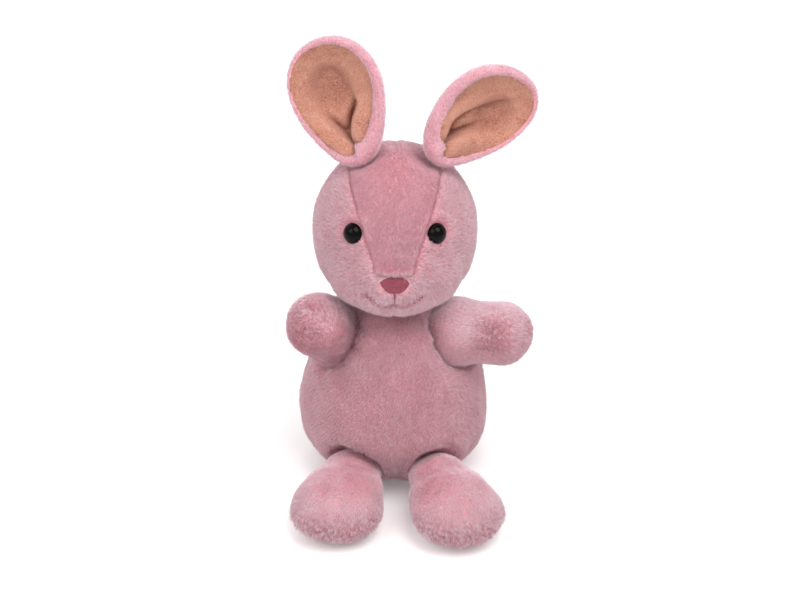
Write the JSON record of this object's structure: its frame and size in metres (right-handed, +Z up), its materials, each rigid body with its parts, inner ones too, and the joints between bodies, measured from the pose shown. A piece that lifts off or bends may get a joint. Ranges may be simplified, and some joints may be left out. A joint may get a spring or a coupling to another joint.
{
  "type": "stuffed bunny rabbit",
  "caption": "Seated plush rabbit with a round head, two tall folded ears, stubby arms, flat-footed legs and a small tail, each sewn on so that it bends at its seam.",
  "frame": {"origin": "centre of the flat seat, on the surface that the toy sits on", "axes": "+Z up, the toy faces -Y, +X to the right as seen from its front"},
  "size_m": [0.1447, 0.1888, 0.2743],
  "materials": {
    "plush": "long soft pile",
    "plush_light": "soft pile laid down",
    "lining": "short pile",
    "seam_cloth": "gathered backing cloth",
    "thread": "stitched thread",
    "eye": "polished black",
    "washer": "moulded",
    "fill": "loose fibre",
    "label": "woven ribbon"
  },
  "bodies": {
    "torso": {"torso_front": "plush", "torso_back_left": "plush", "torso_back_right": "plush", "torso_seat": "plush_light", "torso_stuffing": "fill", "closing_stitches": "thread", "care_label": "label"},
    "neck": {"neck_seam": "seam_cloth"},
    "head": {"face_left": "plush", "face_right": "plush", "forehead_gusset": "plush_light", "head_back_left": "plush", "head_back_right": "plush", "head_stuffing": "fill", "nose_pad": "thread", "mouth_stitch": "thread", "eye_left": "eye", "eye_right": "eye", "eye_washer_left": "washer", "eye_washer_right": "washer"},
    "tail": {"tail_cover": "plush", "tail_stuffing": "fill"},
    "ear_left": {"ear_back_left": "plush", "ear_lining_left": "lining"},
    "shoulder_left": {"shoulder_seam_left": "seam_cloth"},
    "arm_left": {"arm_front_left": "plush", "arm_back_left": "plush", "arm_stuffing_left": "fill"},
    "hip_left": {"hip_seam_left": "seam_cloth"},
    "leg_left": {"leg_top_left": "plush_light", "leg_sole_left": "plush", "leg_stuffing_left": "fill"},
    "ear_right": {"ear_back_right": "plush", "ear_lining_right": "lining"},
    "shoulder_right": {"shoulder_seam_right": "seam_cloth"},
    "arm_right": {"arm_front_right": "plush", "arm_back_right": "plush", "arm_stuffing_right": "fill"},
    "hip_right": {"hip_seam_right": "seam_cloth"},
    "leg_right": {"leg_top_right": "plush_light", "leg_sole_right": "plush", "leg_stuffing_right": "fill"}
  },
  "joints": [
    {"name": "head_turn", "type": "hinge", "parent": "torso", "child": "neck", "pos_m": [0, 0, 0.084], "axis": [0, 0, 1], "range_deg": [-20, 20], "stiffness_Nm_per_rad": 0.4},
    {"name": "head_nod", "type": "hinge", "parent": "neck", "child": "head", "pos_m": [0, 0, 0.084], "axis": [1, 0, 0], "range_deg": [-10, 7], "stiffness_Nm_per_rad": 0.8},
    {"name": "ear_lean_left", "type": "hinge", "parent": "head", "child": "ear_left", "pos_m": [-0.0205, 0, 0.201], "axis": [0, -1, 0], "range_deg": [-8, 55], "stiffness_Nm_per_rad": 0.08},
    {"name": "ear_lean_right", "type": "hinge", "parent": "head", "child": "ear_right", "pos_m": [0.0205, 0, 0.201], "axis": [0, 1, 0], "range_deg": [-42, 21], "stiffness_Nm_per_rad": 0.08},
    {"name": "arm_swing_left", "type": "hinge", "parent": "torso", "child": "shoulder_left", "pos_m": [-0.0365, -0.014, 0.095], "axis": [0, 0, 1], "range_deg": [-35, 0], "stiffness_Nm_per_rad": 0.12},
    {"name": "arm_lift_left", "type": "hinge", "parent": "shoulder_left", "child": "arm_left", "pos_m": [-0.0365, -0.014, 0.095], "axis": [-0.9205, 0.3907, 0], "range_deg": [-10, 5], "stiffness_Nm_per_rad": 0.12},
    {"name": "arm_swing_right", "type": "hinge", "parent": "torso", "child": "shoulder_right", "pos_m": [0.0365, -0.014, 0.095], "axis": [0, 0, 1], "range_deg": [-25, 12], "stiffness_Nm_per_rad": 0.12},
    {"name": "arm_lift_right", "type": "hinge", "parent": "shoulder_right", "child": "arm_right", "pos_m": [0.0365, -0.014, 0.095], "axis": [-0.0872, -0.9962, 0], "range_deg": [-6, 30], "stiffness_Nm_per_rad": 0.12},
    {"name": "leg_splay_left", "type": "hinge", "parent": "torso", "child": "hip_left", "pos_m": [-0.026, -0.049, 0.0185], "axis": [0, 0, 1], "range_deg": [-25, 4], "stiffness_Nm_per_rad": 0.2},
    {"name": "leg_lift_left", "type": "hinge", "parent": "hip_left", "child": "leg_left", "pos_m": [-0.026, -0.049, 0.0185], "axis": [-0.9703, 0.2419, 0], "range_deg": [-15, 25], "stiffness_Nm_per_rad": 0.2},
    {"name": "leg_splay_right", "type": "hinge", "parent": "torso", "child": "hip_right", "pos_m": [0.026, -0.054, 0.0185], "axis": [0, 0, 1], "range_deg": [-4, 25], "stiffness_Nm_per_rad": 0.2},
    {"name": "leg_lift_right", "type": "hinge", "parent": "hip_right", "child": "leg_right", "pos_m": [0.026, -0.054, 0.0185], "axis": [-0.9455, -0.3256, 0], "range_deg": [-15, 25], "stiffness_Nm_per_rad": 0.2},
    {"name": "tail_wag", "type": "hinge", "parent": "torso", "child": "tail", "pos_m": [0, 0.052, 0.026], "axis": [1, 0, 0], "range_deg": [-15, 15], "stiffness_Nm_per_rad": 0.02}
  ]
}
